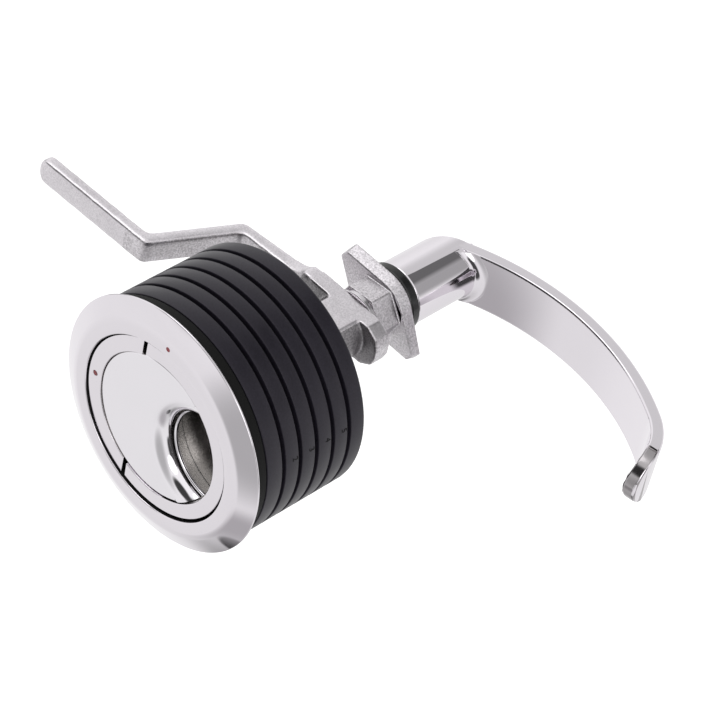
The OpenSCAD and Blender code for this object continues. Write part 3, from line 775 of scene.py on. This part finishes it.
def root_fillet():
    """Turned flare, slanted to lie along the blade's inner face and trimmed to the blade's width."""
    shank_r = -low("lever_handle").x
    shank_y = low("lever_handle").y
    flare = 3.2 * MM
    slant = 0.39
    trim_x = 2.6 * MM
    blade_half = 11.1 * MM
    outline = Outline("root_fillet", shank_r - MM, -flare).line(shank_r, -flare)
    outline.arc((shank_r + flare, -flare), -90, 14)
    outline.line(shank_r + flare, 0.5 * MM).line(shank_r - MM, 0.5 * MM).close()
    piece = outline.turn(160)
    stretch = (math.sqrt(slant * slant + 4) + slant) / 2
    lean = (math.pi - math.atan(2 / slant)) / 2
    place_mesh(piece, (0, 0, lean - math.pi / 2), (0, 0, 0))
    piece.scale = (stretch, 1 / stretch, 1)
    place_mesh(piece, (0, 0, 0), (0, 0, 0))
    place_mesh(piece, (0, 0, lean), (0, shank_y + 24.53 * MM, 0))
    for normal, at in (
        ((1, 0, 0), (trim_x, 0, 0)),
        ((0, 0, 1), (0, 0, -blade_half)),
        ((0, 0, -1), (0, 0, blade_half)),
    ):
        edit(piece)
        bpy.ops.mesh.select_all(action="SELECT")
        bpy.ops.mesh.bisect(plane_co=at, plane_no=normal, use_fill=True, clear_inner=True)
        leave_edit()
    apply_modifier(
        piece, "BEVEL", width=0.7 * MM, segments=4, limit_method="ANGLE", angle_limit=math.radians(50))
    smooth(piece, FACE_DEGREES)
    dress(piece, polished)
    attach(piece, "rotor_group")


root_fillet()


# Floor, light and camera

def studio_floor():
    deselect_all()
    bpy.ops.mesh.primitive_plane_add(size=12.0, location=(0, 0, -0.42))
    floor = bpy.context.object
    floor.name = "studio_floor"
    material = bpy.data.materials.new("pale floor")
    material.use_nodes = True
    shader = material.node_tree.nodes["Principled BSDF"]
    shader.inputs["Base Color"].default_value = (0.93, 0.93, 0.93, 1)
    shader.inputs["Roughness"].default_value = 0.9
    shader.inputs["Emission Color"].default_value = (1, 1, 1, 1)
    shader.inputs["Emission Strength"].default_value = 0.45
    dress(floor, material)
    floor.visible_glossy = False


def painted_shadow_card():
    """Painted shadow: soft-edged glowing card below the lever, standing in for the object's shadow on the
    floor, seen only as a mirror image in polished steel.
    """
    deselect_all()
    bpy.ops.mesh.primitive_circle_add(
        vertices=64, radius=1.0, fill_type="NGON", location=(0.06, -0.165, -0.30))
    card = bpy.context.object
    card.scale = (0.19, 0.11, 1)
    card.name = "painted_shadow_card"
    material = bpy.data.materials.new("painted shadow card")
    material.use_nodes = True
    tree = material.node_tree
    shader = tree.nodes["Principled BSDF"]
    shader.inputs["Base Color"].default_value = (0, 0, 0, 1)
    shader.inputs["Specular IOR Level"].default_value = 0.0
    shader.inputs["Emission Color"].default_value = (0.48, 0.47, 0.48, 1)
    shader.inputs["Emission Strength"].default_value = 1.0
    place = tree.nodes.new("ShaderNodeTexCoord")
    reach = tree.nodes.new("ShaderNodeVectorMath")
    reach.operation = "LENGTH"
    tree.links.new(place.outputs["Object"], reach.inputs[0])
    fade = tree.nodes.new("ShaderNodeMapRange")
    fade.interpolation_type = "SMOOTHSTEP"
    fade.inputs["From Min"].default_value = 1.0
    fade.inputs["From Max"].default_value = 0.2
    tree.links.new(reach.outputs["Value"], fade.inputs["Value"])
    tree.links.new(fade.outputs[0], shader.inputs["Alpha"])
    dress(card, material)
    card.visible_camera = False
    card.visible_diffuse = False
    card.visible_shadow = False


def soft_light(name, at, size, watts):
    light = bpy.data.lights.new(name, "AREA")
    light.shape = "DISK"
    light.size = size
    light.energy = watts
    lamp = bpy.data.objects.new(name, light)
    lamp.location = at
    lamp.rotation_euler = (-Vector(at)).to_track_quat("-Z", "Y").to_euler()
    bpy.context.scene.collection.objects.link(lamp)


def heading(azimuth, elevation):
    """Direction in the studio: azimuth from +X towards +Y, elevation up from the floor, in degrees."""
    across = math.cos(math.radians(elevation))
    return Vector((
        across * math.cos(math.radians(azimuth)),
        across * math.sin(math.radians(azimuth)),
        math.sin(math.radians(elevation)),
    ))


def studio_world():
    """Light tent: pale walls all round, with the darker places of the room that polished steel mirrors."""
    world = bpy.data.worlds.new("light tent")
    bpy.context.scene.world = world
    world.use_nodes = True
    tree = world.node_tree
    place = tree.nodes.new("ShaderNodeTexCoord")
    split = tree.nodes.new("ShaderNodeSeparateXYZ")
    tree.links.new(place.outputs["Generated"], split.inputs[0])
    lift = tree.nodes.new("ShaderNodeMapRange")
    lift.inputs["From Min"].default_value = -1.0
    lift.inputs["From Max"].default_value = 1.0
    tree.links.new(split.outputs["Z"], lift.inputs["Value"])
    ramp = tree.nodes.new("ShaderNodeValToRGB")
    tree.links.new(lift.outputs[0], ramp.inputs["Fac"])
    stops = ramp.color_ramp.elements
    stops[0].position, stops[0].color = 0.0, (0.20, 0.20, 0.20, 1)
    stops[1].position, stops[1].color = 1.0, (1.05, 1.05, 1.05, 1)
    for position, grey in (
        (0.009, 0.46), (0.022, 0.70), (0.085, 0.85), (0.14, 0.89), (0.36, 0.94), (0.5, 0.92), (0.7, 1.0),
    ):
        stops.new(position).color = (grey, grey, grey, 1)
    shade = ramp.outputs["Color"]

    def cosine(direction):
        facing = tree.nodes.new("ShaderNodeVectorMath")
        facing.operation = "DOT_PRODUCT"
        tree.links.new(place.outputs["Generated"], facing.inputs[0])
        facing.inputs[1].default_value = direction
        return facing.outputs["Value"]

    def between(value, start, end):
        spot = tree.nodes.new("ShaderNodeMapRange")
        spot.interpolation_type = "SMOOTHSTEP"
        spot.inputs["From Min"].default_value = start
        spot.inputs["From Max"].default_value = end
        tree.links.new(value, spot.inputs["Value"])
        return spot.outputs[0]

    def paint(under, mask, grey):
        mix = tree.nodes.new("ShaderNodeMix")
        mix.data_type = "RGBA"
        tree.links.new(mask, mix.inputs["Factor"])
        tree.links.new(under, mix.inputs["A"])
        mix.inputs["B"].default_value = (grey, grey, grey, 1)
        return mix.outputs["Result"]

    for azimuth, elevation, core, edge, grey in (
        (-72, -16, 8, 34, 0.50),
        (-122, 30, 10, 26, 0.04),
        (-88, 32, 14, 24, 0.05),
        (-88, -74, 4.2, 5.8, 0.05),
        (80, 56, 20, 50, 0.70),
        (70, 50, 17, 19, 0.16),
        (44, 28, 8, 24, 0.42),
        (171, -44, 10, 40, 0.98),
        (165, -5, 7, 14, 0.12),
    ):
        mask = between(
            cosine(heading(azimuth, elevation)), math.cos(math.radians(edge)), math.cos(math.radians(core)))
        shade = paint(shade, mask, grey)
    dark_gap = heading(1, -46).cross(heading(-18, 32)).normalized()
    off_gap = tree.nodes.new("ShaderNodeMath")
    off_gap.operation = "ABSOLUTE"
    tree.links.new(cosine(dark_gap), off_gap.inputs[0])
    gap_sides = between(off_gap.outputs[0], math.sin(math.radians(18)), math.sin(math.radians(10)))
    gap_ends = between(cosine(heading(-6, 4)), math.cos(math.radians(38)), math.cos(math.radians(26)))
    gap = tree.nodes.new("ShaderNodeMath")
    gap.operation = "MULTIPLY"
    tree.links.new(gap_sides, gap.inputs[0])
    tree.links.new(gap_ends, gap.inputs[1])
    shade = paint(shade, gap.outputs[0], 0.07)
    tree.links.new(shade, tree.nodes["Background"].inputs["Color"])


def studio_camera():
    """Camera at the photograph's viewing angle, from its place and the image's right and down directions."""
    at = Vector((0.476337, -0.548939, 0.753534))
    right = Vector((0.680545, 0.713007, 0.168759)).normalized()
    down = Vector((0.593410, -0.401244, -0.697759))
    ahead = right.cross(down).normalized()
    up = right.cross(-ahead) * -1
    data = bpy.data.cameras.new("photo camera")
    data.sensor_width = SENSOR_MM
    data.lens = FOCAL_PX / IMAGE_PX * SENSOR_MM
    data.clip_end = 50
    camera = bpy.data.objects.new("photo camera", data)
    turn = Matrix((right, up, -ahead)).transposed()
    camera.matrix_world = Matrix.Translation(at) @ turn.to_4x4()
    bpy.context.scene.collection.objects.link(camera)
    bpy.context.scene.camera = camera


studio_floor()
painted_shadow_card()
studio_world()
soft_light("key light", (-0.6, -0.3, 1.3), 0.9, 2)
soft_light("fill light", (1.2, -0.9, 0.6), 1.0, 3)
studio_camera()
bpy.context.scene.view_settings.view_transform = "Standard"
